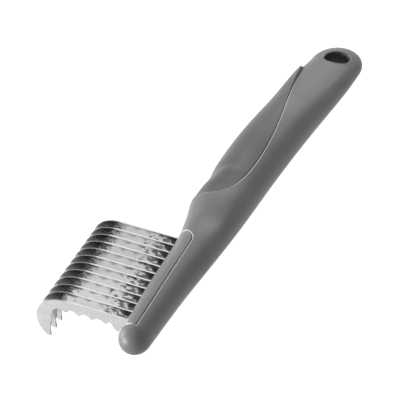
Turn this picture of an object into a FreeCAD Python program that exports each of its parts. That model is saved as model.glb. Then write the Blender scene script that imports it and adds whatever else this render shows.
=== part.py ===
import FreeCAD, Part
import os
import Sketcher
from FreeCAD import Vector

# Undercoat rake with a moulded two-part handle and a stack of hooked, serrated blades.
# Frame: millimetres, +Z up, claws pointing down. +X runs along the handle from the head to the
# hanging hole, +Y is the side that the blades stand out of. The origin is on the axis of the
# hanging hole, half way through the butt of the handle.

doc = FreeCAD.newDocument("undercoat_rake")

# Elliptical cross-sections of the handle, from the rounded head to the butt:
# place along X, centre in Y, centre in Z, half width in Y, half height in Z.
HANDLE_SECTIONS = {
    "tip": (-176.0, 9.4, 1.7, 4.9, 4.7),
    "head": (-150.0, 8.8, 1.7, 6.0, 5.3),
    "neck": (-125.5, 7.8, 1.6, 7.3, 5.8),
    "shoulder": (-106.0, 8.3, 1.4, 9.2, 6.8),
    "palm": (-90.0, 8.2, 1.2, 9.9, 7.2),
    "middle": (-60.0, 6.7, 1.0, 10.4, 7.2),
    "rear": (-28.0, 3.5, 0.5, 10.3, 6.0),
    "tail": (-12.0, 1.9, 0.2, 10.2, 5.1),
    "butt": (0.0, 0.7, 0.0, 9.6, 4.5),
}
SECTION_SIZES = ("x", "y", "z", "half_width", "half_height")
CAVITY_SECTIONS = ("shoulder", "palm", "middle", "rear")

# Seam between the body and the grip panel, seen from above, from behind the shoulder to the butt.
PANEL_SEAM = (
    (-103.6, 22.0),
    (-104.3, 16.0),
    (-104.6, 11.0),
    (-100.5, 6.8),
    (-90.0, 4.0),
    (-72.0, 3.4),
    (-49.0, 5.3),
    (-31.0, 7.8),
    (-13.0, 9.6),
    (-5.0, 12.0),
)

# Strip over the blade roots, seen from above: its rounded rear end, from the inner edge out, and
# its outer edge, from the rear end back to the head.
STRIP_END = ((-131.0, 8.45), (-127.7, 10.1), (-124.6, 14.6))
STRIP_EDGE = ((-124.6, 14.6), (-150.0, 14.1), (-161.5, 13.65), (-171.0, 13.2), (-175.7, 12.7))

# The blade in its own plane, in Y and Z: the bend and the outside of the claw, the inside of the
# claw, and the heel between the last tooth and the tang.
BLADE_BEND = (
    (30.75, 3.95),
    (35.0, 4.2),
    (39.75, 3.05),
    (42.4, 0.4),
    (43.2, -2.6),
    (42.2, -6.8),
    (39.9, -9.5),
)
BLADE_THROAT = (
    (38.9, -9.5),
    (39.0, -6.4),
    (38.5, -3.4),
    (38.2, -0.8),
    (37.3, 0.75),
    (35.9, 1.15),
)
BLADE_HEEL = ((19.3, -0.6), (18.4, -2.1), (17.9, -2.6), (17.1, -2.6), (16.6, -1.1))
HEEL_NOTCH_Y = 20.0

# The other driving dimensions.
DIMENSIONS = {
    "tip_dome": 5.6,
    "butt_dome": 12.6,
    "dome_step": 0.03,
    "wall": 2.2,
    "seam_gap": 0.12,
    "hang_hole_x": 0.0,
    "hang_hole_y": 0.0,
    "hang_hole_diameter": 9.2,
    "hang_hole_wall": 7.2,
    "hang_hole_rounding": 0.9,
    "blade_count": 12,
    "blade_pitch": 4.0,
    "blade_thickness": 0.7,
    "first_blade_x": -169.5,
    "tooth_count": 4,
    "tooth_pitch": 4.2,
    "first_tooth_y": 34.0,
    "tooth_flat": 0.6,
    "tooth_depth": 3.85,
    "notch_depth": 2.8,
    "slot_clearance": 0.04,
    "hole_clearance": 0.1,
    "carrier_start_x": -173.2,
    "carrier_end_x": -123.2,
    "carrier_inner_y": 9.2,
    "carrier_outer_y": 14.0,
    "carrier_bottom_z": -1.6,
    "carrier_top_z": 2.4,
    "carrier_chamfer": 1.4,
    "strip_start_x": -175.7,
    "strip_start_y": 9.1,
    "tang_inner_y": 10.8,
    "tang_bottom_z": -1.1,
    "tang_top_z": 2.32,
    "rod_y": 12.6,
    "rod_z": 0.8,
    "rod_diameter": 1.5,
    "push_nut_diameter": 2.5,
    "push_nut_thickness": 0.7,
    "carrier_screw_y": 10.6,
    "carrier_screw_diameter": 2.0,
    "carrier_screw_head_diameter": 3.6,
    "carrier_screw_seat_z": -2.3,
    "carrier_screw_top_z": 5.0,
    "panel_screw_diameter": 2.4,
    "panel_screw_head_diameter": 4.4,
    "panel_screw_seat_z": -4.6,
    "panel_screw_top_z": 2.5,
    "screw_head_height": 0.8,
    "screw_head_clearance": 0.3,
    "screw_socket_depth": 0.5,
    "screw_socket_share": 0.26,
    "boss_diameter": 5.4,
    "boss_bottom_z": -2.2,
    "boss_top_z": 3.6,
    "web_thickness": 1.6,
    "web_bottom_z": -1.5,
    "web_top_z": 3.2,
    "outside": 30.0,
}

# Fixing screws, each held from below: place along X, and for the two panel screws the place in Y
# and where the web that carries the boss starts in the wall of the handle.
CARRIER_SCREWS = {"front": -159.5, "rear": -135.5}
PANEL_SCREWS = {"front": (-86.0, 9.0, -0.7), "rear": (-46.0, 8.5, -4.0)}

sizes = doc.addObject("Spreadsheet::Sheet", "sizes")


def add_size(row, alias, number):
    sizes.set(f"A{row}", alias)
    sizes.set(f"B{row}", str(number))
    sizes.setAlias(f"B{row}", alias)


rows = list(DIMENSIONS.items())
for section, numbers in HANDLE_SECTIONS.items():
    rows += [(f"{section}_{size}", number) for size, number in zip(SECTION_SIZES, numbers)]
rows += [(f"carrier_screw_{place}_x", x) for place, x in CARRIER_SCREWS.items()]
for place, numbers in PANEL_SCREWS.items():
    rows += zip((f"{place}_boss_x", f"{place}_boss_y", f"{place}_web_y"), numbers)
for row, (alias, number) in enumerate(rows, start=1):
    add_size(row, alias, number)
doc.recompute()


def size(alias):
    """The number in the sheet's cell of that name."""
    return float(sizes.get(alias))


def new_body(label):
    body = doc.addObject("PartDesign::Body", label)
    body.Label = label
    return body


def origin_part(body, role):
    """One of the planes or axes of the body's own origin."""
    return next(part for part in body.Origin.OriginFeatures if part.Role == role)


def new_sketch(body, name, role, **offset):
    """An empty sketch on one of the body's origin planes, moved by expressions for x, y or z."""
    sketch = body.newObject("Sketcher::SketchObject", f"{body.Label}_{name}")
    sketch.AttachmentSupport = [(origin_part(body, role), "")]
    sketch.MapMode = "FlatFace"
    for axis, expression in offset.items():
        sketch.setExpression(f"AttachmentOffset.Base.{axis}", expression)
    return sketch


def ellipse_section(body, name, section, grow):
    """One handle section on its own plane across X, larger by grow all round."""
    prefix = f"sizes.{section}_"
    sketch = new_sketch(body, name, "YZ_Plane", x=prefix + "y", y=prefix + "z", z=prefix + "x")
    half_width = size(f"{section}_half_width") + grow
    half_height = size(f"{section}_half_height") + grow
    ellipse = sketch.addGeometry(Part.Ellipse(Vector(0, 0, 0), half_width, half_height))
    sketch.exposeInternalGeometry(ellipse)
    major, minor = ellipse + 1, ellipse + 2
    sketch.addConstraint(Sketcher.Constraint("Coincident", ellipse, 3, -1, 1))
    sketch.addConstraint(Sketcher.Constraint("Horizontal", major))
    width = sketch.addConstraint(Sketcher.Constraint("Distance", major, 2 * half_width))
    height = sketch.addConstraint(Sketcher.Constraint("Distance", minor, 2 * half_height))
    sketch.setExpression(f"Constraints[{width}]", f"2 * ({prefix}half_width + {grow})")
    sketch.setExpression(f"Constraints[{height}]", f"2 * ({prefix}half_height + {grow})")
    return sketch


def handle_loft(body, kind, name, sections, grow):
    """A smooth loft through the named sections; grow gives each section's own allowance."""
    sketches = [
        ellipse_section(body, f"{name}_{section}", section, grow(section)) for section in sections
    ]
    doc.recompute()
    loft = body.newObject(kind, f"{body.Label}_{name}")
    loft.Profile = sketches[0]
    loft.Sections = sketches[1:]
    doc.recompute()
    return loft


def dome(body, section, length, turn):
    """An ellipsoid that rounds off the handle's end at that section."""
    ball = body.newObject("PartDesign::AdditiveEllipsoid", f"{body.Label}_{section}_dome")
    ball.Placement = FreeCAD.Placement(Vector(), FreeCAD.Rotation(Vector(0, 0, 1), turn))
    ball.setExpression("Radius1", f"sizes.{section}_half_height - sizes.dome_step")
    ball.setExpression("Radius2", f"sizes.{length}")
    ball.setExpression("Radius3", f"sizes.{section}_half_width - sizes.dome_step")
    for axis in "xyz":
        ball.setExpression(f"Placement.Base.{axis}", f"sizes.{section}_{axis}")
    doc.recompute()
    return ball


def measure(sketch, kind, expression, *places):
    """A constraint of that kind whose value follows an expression on the sheet."""
    number = float(sketch.evalExpression(expression))
    index = sketch.addConstraint(Sketcher.Constraint(kind, *places, number))
    sketch.setExpression(f"Constraints[{index}]", expression)


def rectangle(sketch, low_x, high_x, low_y, high_y):
    """A rectangle with its sides at four expressions."""
    x0, x1, y0, y1 = (float(sketch.evalExpression(e)) for e in (low_x, high_x, low_y, high_y))
    corners = [Vector(x0, y0, 0), Vector(x1, y0, 0), Vector(x1, y1, 0), Vector(x0, y1, 0)]
    sides = [
        sketch.addGeometry(Part.LineSegment(corners[i], corners[(i + 1) % 4])) for i in range(4)
    ]
    for i, side in enumerate(sides):
        sketch.addConstraint(Sketcher.Constraint("Coincident", side, 2, sides[(i + 1) % 4], 1))
        direction = "Horizontal" if i % 2 == 0 else "Vertical"
        sketch.addConstraint(Sketcher.Constraint(direction, side))
    measure(sketch, "DistanceX", low_x, -1, 1, sides[0], 1)
    measure(sketch, "DistanceY", low_y, -1, 1, sides[0], 1)
    measure(sketch, "DistanceX", high_x, -1, 1, sides[2], 1)
    measure(sketch, "DistanceY", high_y, -1, 1, sides[2], 1)


def circle(sketch, x, y, diameter):
    """A circle with its centre and diameter at three expressions."""
    centre = Vector(float(sketch.evalExpression(x)), float(sketch.evalExpression(y)), 0)
    radius = float(sketch.evalExpression(diameter)) / 2
    index = sketch.addGeometry(Part.Circle(centre, Vector(0, 0, 1), radius))
    measure(sketch, "DistanceX", x, -1, 1, index, 3)
    measure(sketch, "DistanceY", y, -1, 1, index, 3)
    measure(sketch, "Diameter", diameter, index)


def add_outline(sketch, *curves):
    for curve in curves:
        sketch.addGeometry(curve)


def line(start, end):
    return Part.LineSegment(Vector(*start, 0), Vector(*end, 0))


def arc(start, middle, end):
    return Part.Arc(Vector(*start, 0), Vector(*middle, 0), Vector(*end, 0))


def spline(points):
    curve = Part.BSplineCurve()
    curve.interpolate([Vector(*point, 0) for point in points])
    return curve


def chain(points):
    return [line(start, end) for start, end in zip(points, points[1:])]


# A Pad or Pocket that changes less than this volume, in cubic millimetres, has missed its body.
LEAST_CHANGE = 0.1


def feature(body, kind, sketch, length=None, upward=None):
    """A Pad or Pocket of a sketch. With no length a Pocket goes right through, both ways,
    unless upward says which way it goes from the sketch."""
    doc.recompute()
    before = body.Shape.Volume if body.Tip else 0.0
    made = body.newObject(kind, f"{sketch.Name}_{kind.split('::')[1].lower()}")
    made.Profile = sketch
    if length:
        made.setExpression("Length", length)
    else:
        made.Type = "ThroughAll"
        made.Midplane = upward is None
    if kind == "PartDesign::Pocket" and upward:
        made.Reversed = True
    doc.recompute()
    change = body.Shape.Volume - before
    if change * (1 if kind == "PartDesign::Pad" else -1) < LEAST_CHANGE:
        raise RuntimeError(f"{made.Name} changes the volume by {change:.3f}")
    return made


def cavity(body):
    """The hollow inside the grip, one wall thickness in from the outer surface."""
    handle_loft(
        body, "PartDesign::SubtractiveLoft", "cavity", CAVITY_SECTIONS, lambda section: -size("wall")
    )


def outer_solid(body, grow):
    """The whole outer form of the handle, rounded at both ends."""
    handle_loft(body, "PartDesign::AdditiveLoft", "outer", list(HANDLE_SECTIONS), grow)
    dome(body, "tip", "tip_dome", 0)
    dome(body, "butt", "butt_dome", 180)


def panel_outline(gap):
    """Plan outline of the grip panel: it starts across the handle behind the shoulder, sweeps
    past the crown in a long S and leaves the side again just before the butt."""
    outside = size("outside")
    seam = [(x + gap, y + gap) for x, y in PANEL_SEAM]
    start, end = seam[0], seam[-1]
    return [
        spline(seam),
        *chain([end, (end[0], outside), (start[0], outside), start]),
    ]


def strip_outline(gap):
    """Plan outline of the strip over the blade roots, out to its own outer edge."""
    x0, y0 = size("strip_start_x") + gap, size("strip_start_y") + gap
    rear = [(x - gap, y + gap) for x, y in STRIP_END]
    edge = [rear[-1], *STRIP_EDGE[1:-1], (x0, STRIP_EDGE[-1][1])]
    return [line((x0, y0), rear[0]), arc(*rear), spline(edge), line(edge[-1], (x0, y0))]


def strip_recess_outline():
    """Plan outline of the room for the strip, open at the side that the blades stand out of."""
    start = (size("strip_start_x"), size("strip_start_y"))
    end, outside = STRIP_END[-1], size("outside")
    return [
        line(start, STRIP_END[0]),
        arc(*STRIP_END),
        *chain([end, (end[0], outside), (start[0], outside), start]),
    ]


def keep_inside(body, outline):
    """Keeps only what lies inside a plan outline, by an upright block of that outline."""
    block = new_body(f"{body.Label}_block")
    sketch = new_sketch(block, "outline", "XY_Plane")
    add_outline(sketch, *outline)
    feature(block, "PartDesign::Pad", sketch, "2 * sizes.outside").Midplane = True
    doc.recompute()
    common = body.newObject("PartDesign::Boolean", f"{body.Label}_inside")
    common.Type = "Common"
    common.setObjects([block])
    body.Tip = common
    doc.recompute()


def handle_body():
    body = new_body("handle_body")
    outer_solid(body, lambda section: 0.0)
    cavity(body)

    panel_place = new_sketch(body, "panel_place", "XY_Plane")
    add_outline(panel_place, *panel_outline(0.0))
    feature(body, "PartDesign::Pocket", panel_place)

    strip_recess = new_sketch(body, "strip_recess", "XY_Plane", z="sizes.carrier_top_z")
    add_outline(strip_recess, *strip_recess_outline())
    feature(body, "PartDesign::Pocket", strip_recess, upward=True)

    recess = new_sketch(body, "carrier_recess", "XY_Plane", z="sizes.carrier_bottom_z")
    rectangle(
        recess,
        "sizes.carrier_start_x - sizes.seam_gap",
        "sizes.carrier_end_x + sizes.seam_gap",
        "sizes.carrier_inner_y - sizes.seam_gap",
        "sizes.outside",
    )
    height = "sizes.carrier_top_z - sizes.carrier_bottom_z"
    feature(body, "PartDesign::Pocket", recess, height, upward=True)

    for place in CARRIER_SCREWS:
        x = f"sizes.carrier_screw_{place}_x"
        hole = new_sketch(body, f"{place}_hole", "XY_Plane", z="sizes.carrier_bottom_z")
        circle(hole, x, "sizes.carrier_screw_y", "sizes.carrier_screw_diameter + sizes.hole_clearance")
        feature(body, "PartDesign::Pocket", hole, upward=False)
        seat = new_sketch(body, f"{place}_seat", "XY_Plane", z="sizes.carrier_screw_seat_z")
        head = "sizes.carrier_screw_head_diameter + sizes.screw_head_clearance"
        circle(seat, x, "sizes.carrier_screw_y", head)
        feature(body, "PartDesign::Pocket", seat, upward=False)

    for place in PANEL_SCREWS:
        x, y = f"sizes.{place}_boss_x", f"sizes.{place}_boss_y"
        web = new_sketch(body, f"{place}_web", "XY_Plane", z="sizes.web_bottom_z")
        half = "sizes.web_thickness / 2"
        rectangle(web, f"{x} - {half}", f"{x} + {half}", f"sizes.{place}_web_y", y)
        feature(body, "PartDesign::Pad", web, "sizes.web_top_z - sizes.web_bottom_z")
        boss = new_sketch(body, f"{place}_boss", "XY_Plane", z="sizes.boss_bottom_z")
        circle(boss, x, y, "sizes.boss_diameter")
        feature(body, "PartDesign::Pad", boss, "sizes.boss_top_z - sizes.boss_bottom_z")
        pilot = new_sketch(body, f"{place}_pilot", "XY_Plane", z="sizes.boss_bottom_z")
        circle(pilot, x, y, "sizes.panel_screw_diameter")
        depth = "sizes.panel_screw_top_z - sizes.boss_bottom_z"
        feature(body, "PartDesign::Pocket", pilot, depth, upward=True)

    hang_hole = new_sketch(body, "hang_hole", "XY_Plane")
    circle(hang_hole, "sizes.hang_hole_x", "sizes.hang_hole_y", "sizes.hang_hole_diameter")
    feature(body, "PartDesign::Pocket", hang_hole)
    round_hang_hole(body)
    return body


def round_hang_hole(body):
    """Rounds both rims of the hanging hole, tangent to its straight wall."""
    wall_radius = size("hang_hole_diameter") / 2
    rounding, half_wall = size("hang_hole_rounding"), size("hang_hole_wall") / 2
    above = half_wall + 2 * rounding
    for name, side in (("top", 1), ("bottom", -1)):
        sketch = new_sketch(body, f"hang_hole_{name}", "XZ_Plane")
        wall_end = (wall_radius, side * half_wall)
        halfway = (
            wall_radius + rounding * (1 - 0.5**0.5),
            side * (half_wall + rounding * 0.5**0.5),
        )
        rim = (wall_radius + rounding, side * (half_wall + rounding))
        inside = wall_radius / 2
        add_outline(
            sketch,
            arc(wall_end, halfway, rim),
            *chain([rim, (rim[0], side * above), (inside, side * above)]),
            *chain([(inside, side * above), (inside, side * half_wall), wall_end]),
        )
        doc.recompute()
        before = body.Shape.Volume
        groove = body.newObject("PartDesign::Groove", f"hang_hole_{name}_rim")
        groove.Profile = sketch
        groove.ReferenceAxis = (origin_part(body, "Z_Axis"), [""])
        groove.Angle = 360
        doc.recompute()
        if body.Shape.Volume >= before:
            raise RuntimeError(f"{groove.Name} cuts nothing")


def grip_panel():
    """The second half of the grip. It stands a little proud of the body towards the butt."""
    proud = {"middle": 0.1, "rear": 0.4, "tail": 0.9, "butt": 0.9}
    body = new_body("grip_panel")
    outer_solid(body, lambda section: proud.get(section, 0.0))
    keep_inside(body, panel_outline(size("seam_gap")))
    cavity(body)
    for place in PANEL_SCREWS:
        x, y = f"sizes.{place}_boss_x", f"sizes.{place}_boss_y"
        hole = new_sketch(body, f"{place}_hole", "XY_Plane")
        circle(hole, x, y, "sizes.panel_screw_diameter + sizes.hole_clearance")
        feature(body, "PartDesign::Pocket", hole, upward=False)
        seat = new_sketch(body, f"{place}_seat", "XY_Plane", z="sizes.panel_screw_seat_z")
        head = "sizes.panel_screw_head_diameter + sizes.screw_head_clearance"
        circle(seat, x, y, head)
        feature(body, "PartDesign::Pocket", seat, upward=False)
    return body


def retaining_strip():
    """The flush strip that closes the blade slots from above."""
    body = new_body("retaining_strip")
    outer_solid(body, lambda section: 0.0)
    underside = new_sketch(body, "underside", "XY_Plane", z="sizes.carrier_top_z")
    far = "10 * sizes.outside"
    rectangle(underside, f"-{far}", far, f"-{far}", far)
    feature(body, "PartDesign::Pocket", underside, upward=False)
    keep_inside(body, strip_outline(size("seam_gap")))
    for place in CARRIER_SCREWS:
        pilot = new_sketch(body, f"{place}_pilot", "XY_Plane", z="sizes.carrier_top_z")
        x = f"sizes.carrier_screw_{place}_x"
        circle(pilot, x, "sizes.carrier_screw_y", "sizes.carrier_screw_diameter")
        depth = "sizes.carrier_screw_top_z - sizes.carrier_top_z"
        feature(body, "PartDesign::Pocket", pilot, depth, upward=True)
    return body


def blade_carrier():
    """The comb block that spaces the blades, bored from end to end for the rod."""
    body = new_body("blade_carrier")
    inner, outer = size("carrier_inner_y"), size("carrier_outer_y")
    bottom, top = size("carrier_bottom_z"), size("carrier_top_z")
    chamfer = size("carrier_chamfer")
    section = new_sketch(body, "section", "YZ_Plane", z="sizes.carrier_start_x")
    corners = [
        (inner, bottom),
        (outer - chamfer, bottom),
        (outer, bottom + chamfer),
        (outer, top),
        (inner, top),
        (inner, bottom),
    ]
    add_outline(section, *chain(corners))
    feature(body, "PartDesign::Pad", section, "sizes.carrier_end_x - sizes.carrier_start_x")

    bore = new_sketch(body, "bore", "YZ_Plane", z="sizes.carrier_start_x")
    circle(bore, "sizes.rod_y", "sizes.rod_z", "sizes.rod_diameter + sizes.hole_clearance")
    feature(body, "PartDesign::Pocket", bore, upward=True)
    for end in ("start", "end"):
        nut_place = new_sketch(body, f"{end}_nut", "YZ_Plane", z=f"sizes.carrier_{end}_x")
        reach = "sizes.push_nut_diameter + sizes.hole_clearance"
        circle(nut_place, "sizes.rod_y", "sizes.rod_z", reach)
        depth = "sizes.push_nut_thickness + sizes.hole_clearance"
        feature(body, "PartDesign::Pocket", nut_place, depth, upward=end == "start")

    for place in CARRIER_SCREWS:
        hole = new_sketch(body, f"{place}_hole", "XY_Plane", z="sizes.carrier_bottom_z")
        x = f"sizes.carrier_screw_{place}_x"
        circle(hole, x, "sizes.carrier_screw_y", "sizes.carrier_screw_diameter + sizes.hole_clearance")
        feature(body, "PartDesign::Pocket", hole, upward=True)

    slot = new_sketch(body, "slot", "XY_Plane", z="sizes.tang_bottom_z - sizes.slot_clearance")
    half = "(sizes.blade_thickness / 2 + sizes.slot_clearance)"
    rectangle(
        slot,
        f"sizes.first_blade_x - {half}",
        f"sizes.first_blade_x + {half}",
        "sizes.tang_inner_y - sizes.slot_clearance",
        "sizes.outside",
    )
    first = feature(body, "PartDesign::Pocket", slot, upward=True)
    slots = body.newObject("PartDesign::LinearPattern", "blade_slots")
    slots.Originals = [first]
    slots.Direction = (origin_part(body, "X_Axis"), [""])
    slots.setExpression("Length", "sizes.blade_pitch * (sizes.blade_count - 1)")
    slots.setExpression("Occurrences", "sizes.blade_count")
    body.Tip = slots
    doc.recompute()
    return body


def blade_outline():
    """The blade in its own plane: a straight back that rises to the bend, a claw that hangs
    down in front, a serrated inner edge, a heel and a tang that fills its slot."""
    back_start = (size("carrier_outer_y"), size("tang_top_z"))
    back_end = BLADE_BEND[0]
    slope = (back_end[1] - back_start[1]) / (back_end[0] - back_start[0])

    def below_back(y, depth):
        return (y, back_start[1] + slope * (y - back_start[0]) - depth)

    curves = [
        line(back_start, back_end),
        spline(BLADE_BEND),
        line(BLADE_BEND[-1], BLADE_THROAT[0]),
        spline(BLADE_THROAT),
    ]
    last = BLADE_THROAT[-1]
    pitch, half_flat = size("tooth_pitch"), size("tooth_flat") / 2
    for tooth in range(int(size("tooth_count"))):
        y = size("first_tooth_y") - tooth * pitch
        flat_start = below_back(y + half_flat, size("tooth_depth"))
        flat_end = below_back(y - half_flat, size("tooth_depth"))
        if tooth:
            notch = below_back(y + pitch / 2, size("notch_depth"))
            curves.append(arc(last, notch, flat_start))
        else:
            curves.append(line(last, flat_start))
        curves.append(line(flat_start, flat_end))
        last = flat_end
    heel_notch = below_back(HEEL_NOTCH_Y, size("notch_depth"))
    curves.append(arc(last, heel_notch, BLADE_HEEL[0]))
    inner = size("tang_inner_y")
    tang = [(inner, size("tang_bottom_z")), (inner, size("tang_top_z"))]
    return curves + chain([*BLADE_HEEL, *tang, back_start])


def blade(number):
    body = new_body(f"blade_{number + 1:02d}")
    near_face = f"sizes.first_blade_x - sizes.blade_thickness / 2 + {number} * sizes.blade_pitch"
    outline = new_sketch(body, "outline", "YZ_Plane", z=near_face)
    add_outline(outline, *blade_outline())
    feature(body, "PartDesign::Pad", outline, "sizes.blade_thickness")
    hole = new_sketch(body, "rod_hole", "YZ_Plane")
    circle(hole, "sizes.rod_y", "sizes.rod_z", "sizes.rod_diameter + sizes.hole_clearance")
    feature(body, "PartDesign::Pocket", hole)
    return body


def cylinder(name, diameter, height, turn=None, **place):
    """A round bar with its base at a point; turn=True lays it along X."""
    bar = doc.addObject("Part::Cylinder", name)
    bar.setExpression("Radius", f"({diameter}) / 2")
    bar.setExpression("Height", height)
    if turn:
        bar.Placement = FreeCAD.Placement(Vector(), FreeCAD.Rotation(Vector(0, 1, 0), 90))
    for axis, expression in place.items():
        bar.setExpression(f"Placement.Base.{axis}", expression)
    return bar


def screw(name, prefix, x, y):
    """A pan-head screw, head down, with a hexagonal socket."""
    seat = f"sizes.{prefix}_seat_z"
    socket_size = f"sizes.{prefix}_head_diameter * sizes.screw_socket_share"
    shank = cylinder(
        f"{name}_shank", f"sizes.{prefix}_diameter", f"sizes.{prefix}_top_z - {seat}", x=x, y=y, z=seat
    )
    under = f"{seat} - sizes.screw_head_height"
    diameter = f"sizes.{prefix}_head_diameter"
    head = cylinder(f"{name}_head", diameter, "sizes.screw_head_height", x=x, y=y, z=under)
    whole = doc.addObject("Part::Fuse", f"{name}_whole")
    whole.Base, whole.Tool = head, shank
    socket = doc.addObject("Part::Prism", f"{name}_socket")
    socket.Polygon = 6
    socket.setExpression("Circumradius", socket_size)
    socket.setExpression("Height", "sizes.screw_socket_depth")
    for axis, expression in (("x", x), ("y", y), ("z", under)):
        socket.setExpression(f"Placement.Base.{axis}", expression)
    made = doc.addObject("Part::Cut", name)
    made.Base, made.Tool = whole, socket
    return made


def group(label, members):
    """Like pieces that share one node, each still a solid of its own."""
    doc.recompute()
    made = doc.addObject("Part::Compound", label)
    made.Label = label
    made.Links = members
    return made


def carrier_screws():
    return group(
        "carrier_screws",
        [
            screw(f"carrier_screw_{place}", "carrier_screw", f"sizes.carrier_screw_{place}_x",
                  "sizes.carrier_screw_y")
            for place in CARRIER_SCREWS
        ],
    )


def panel_screws():
    return group(
        "panel_screws",
        [
            screw(f"panel_screw_{place}", "panel_screw", f"sizes.{place}_boss_x",
                  f"sizes.{place}_boss_y")
            for place in PANEL_SCREWS
        ],
    )


def blade_rod():
    length = "sizes.carrier_end_x - sizes.carrier_start_x"
    rod = cylinder("blade_rod", "sizes.rod_diameter", length, turn=True,
                   x="sizes.carrier_start_x", y="sizes.rod_y", z="sizes.rod_z")
    rod.Label = "blade_rod"
    return rod


def rod_push_nuts():
    nuts = []
    thickness = "sizes.push_nut_thickness"
    for place, start in (
        ("start", "sizes.carrier_start_x"),
        ("end", f"sizes.carrier_end_x - {thickness}"),
    ):
        where = {"x": start, "y": "sizes.rod_y", "z": "sizes.rod_z", "turn": True}
        disc = cylinder(f"push_nut_{place}_disc", "sizes.push_nut_diameter", thickness, **where)
        bore = cylinder(f"push_nut_{place}_bore", "sizes.rod_diameter", thickness, **where)
        nut = doc.addObject("Part::Cut", f"push_nut_{place}")
        nut.Base, nut.Tool = disc, bore
        nuts.append(nut)
    return group("rod_push_nuts", nuts)


def write(parts):
    """Checks every object and sub-part, then writes one file for each sub-part."""
    doc.recompute()
    for thing in doc.Objects:
        if "Invalid" in thing.State or "Error" in thing.State:
            raise RuntimeError(f"{thing.Label} is {thing.State}")
    for part in parts:
        if part.Shape.isNull() or not part.Shape.isValid():
            raise RuntimeError(f"{part.Label} has no valid shape")
    os.makedirs("parts", exist_ok=True)
    for part in parts:
        part.Shape.exportStep(f"parts/{part.Label}.step")
        solids = len(part.Shape.Solids)
        print(f"{part.Label}: {solids} solid(s), {part.Shape.Volume:.1f} mm3")


write(
    [
        handle_body(),
        grip_panel(),
        retaining_strip(),
        blade_carrier(),
        *[blade(number) for number in range(int(size("blade_count")))],
        blade_rod(),
        rod_push_nuts(),
        carrier_screws(),
        panel_screws(),
    ]
)
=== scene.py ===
import math
import bmesh
import bpy
import numpy as np
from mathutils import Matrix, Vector, geometry, kdtree


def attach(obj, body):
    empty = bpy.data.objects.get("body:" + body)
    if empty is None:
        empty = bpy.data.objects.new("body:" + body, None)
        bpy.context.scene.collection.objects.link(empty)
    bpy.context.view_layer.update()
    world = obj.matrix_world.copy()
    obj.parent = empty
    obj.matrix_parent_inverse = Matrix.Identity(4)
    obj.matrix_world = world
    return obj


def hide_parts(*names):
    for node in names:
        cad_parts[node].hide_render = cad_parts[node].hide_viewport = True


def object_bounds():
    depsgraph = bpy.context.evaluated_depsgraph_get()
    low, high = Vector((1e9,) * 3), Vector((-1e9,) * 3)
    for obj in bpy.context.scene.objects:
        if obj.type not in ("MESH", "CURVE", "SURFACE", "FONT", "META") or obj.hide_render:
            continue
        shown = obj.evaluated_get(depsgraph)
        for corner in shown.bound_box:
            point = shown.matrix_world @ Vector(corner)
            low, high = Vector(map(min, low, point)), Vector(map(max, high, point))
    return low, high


# The looks of an undercoat rake: a grey moulded handle with a grip panel, a strip over the blade
# roots and twelve hooked steel blades. Blender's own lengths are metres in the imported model's
# frame; the handle and the blades are worked out in millimetres and scaled by MM.

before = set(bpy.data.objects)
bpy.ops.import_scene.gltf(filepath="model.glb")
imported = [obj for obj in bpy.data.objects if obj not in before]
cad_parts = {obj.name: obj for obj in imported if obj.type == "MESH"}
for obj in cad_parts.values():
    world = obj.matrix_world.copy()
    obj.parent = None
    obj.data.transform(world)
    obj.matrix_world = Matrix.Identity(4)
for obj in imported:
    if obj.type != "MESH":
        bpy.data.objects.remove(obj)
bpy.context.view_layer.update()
MM = 0.001
WHITE = (1.0, 1.0, 1.0, 1.0)

# ---------------------------------------------------------------- camera, light and floor

CAMERA_TARGET = Vector((-0.0994, 0.0171, 0.0))
CAMERA_DISTANCE = 0.5848
CAMERA_AZIMUTH = -70.44
CAMERA_ELEVATION = 33.0
CAMERA_LENS = 164.3
SENSOR_WIDTH = 36.0
CAMERA_CLIP_START = 0.01
FLOOR_TONE = 0.25
FLOOR_ROUGHNESS = 0.9
FLOOR_GLOW = 0.87
FLOOR_REACH = 3.0

# The surrounding softness: a dome that is brighter towards one side than towards the other.
DOME_LEVEL, DOME_SWING = 0.7, 0.32
DOME_BRIGHT_SIDE = (150.0, 40.0)

# Soft lights: azimuth, elevation, distance, size and power.
LIGHTS = {
    "crown": (94.0, 38.0, 0.9, 0.56, 3.0),
    "side": (180.0, 10.0, 0.9, 0.45, 8.0),
    "cap": (-137.0, 1.0, 0.7, 0.3, 18.0),
}


def towards(azimuth, elevation):
    """Unit vector from the object to a viewer at that azimuth and elevation in degrees."""
    around, up = math.radians(azimuth), math.radians(elevation)
    return Vector(
        (math.sin(around) * math.cos(up), -math.cos(around) * math.cos(up), math.sin(up))
    )


def aim(thing, direction, distance):
    """Puts a camera or light out along a direction, looking back at the object."""
    thing.location = CAMERA_TARGET + direction * distance
    thing.rotation_euler = (-direction).to_track_quat("-Z", "Y").to_euler()
    bpy.context.collection.objects.link(thing)


def make_camera():
    """A long lens at the object's three-quarter view from above its head end."""
    data = bpy.data.cameras.new("camera")
    data.lens = CAMERA_LENS
    data.sensor_width = SENSOR_WIDTH
    data.clip_start = CAMERA_CLIP_START
    camera = bpy.data.objects.new("camera", data)
    aim(camera, towards(CAMERA_AZIMUTH, CAMERA_ELEVATION), CAMERA_DISTANCE)
    bpy.context.scene.camera = camera


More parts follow.
